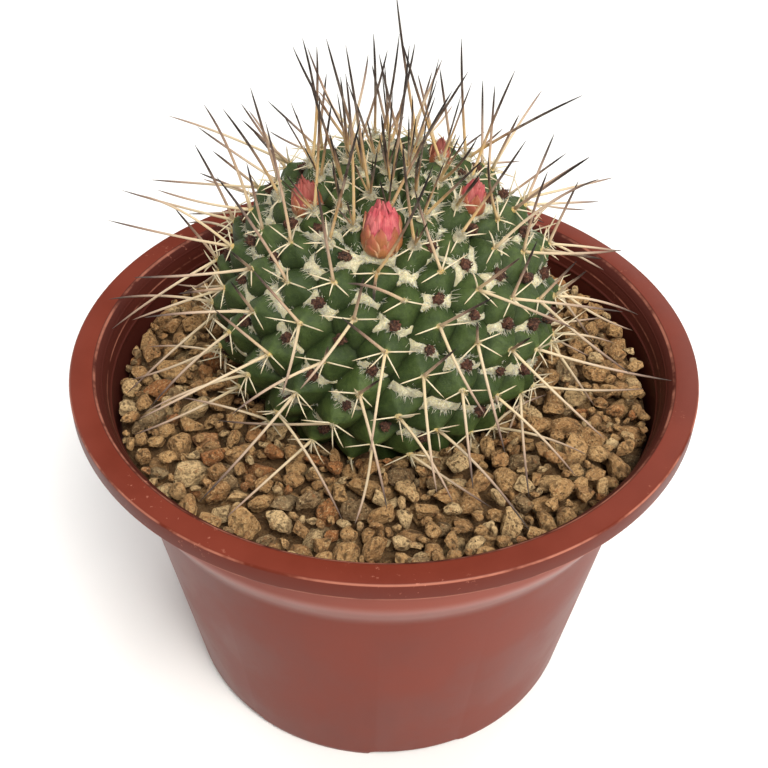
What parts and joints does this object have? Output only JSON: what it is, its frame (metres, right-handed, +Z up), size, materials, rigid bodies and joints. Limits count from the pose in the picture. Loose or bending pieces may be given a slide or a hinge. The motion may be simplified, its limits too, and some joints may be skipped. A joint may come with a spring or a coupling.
{
  "type": "potted round cactus",
  "caption": "Round cactus with spiralled tubercles, long pale spines and pink buds, in gravel in a red-brown plastic pot with a collared rim.",
  "frame": {"origin": "on the table under the middle of the pot's rim", "axes": "+Z up along the pot's axis; -Y towards the side that shows the largest bud; +X to the right when seen from that side"},
  "size_m": [0.18, 0.18, 0.209],
  "materials": {
    "pot": "satin moulded plastic, fine scuffs",
    "soil": "rough, crumbly",
    "gravel": "rough, pitted stone",
    "cactus": "semi-matt skin with pale wool and spines",
    "sepals": "semi-matt",
    "petals": "satin"
  },
  "bodies": {
    "root": {"pot": "pot", "soil": "soil", "gravel": "gravel", "cactus": "cactus", "bud_front_sepals": "sepals", "bud_front_petals": "petals", "bud_left_sepals": "sepals", "bud_left_petals": "petals", "bud_right_sepals": "sepals", "bud_right_petals": "petals", "bud_back_sepals": "sepals", "bud_back_petals": "petals"}
  },
  "joints": []
}
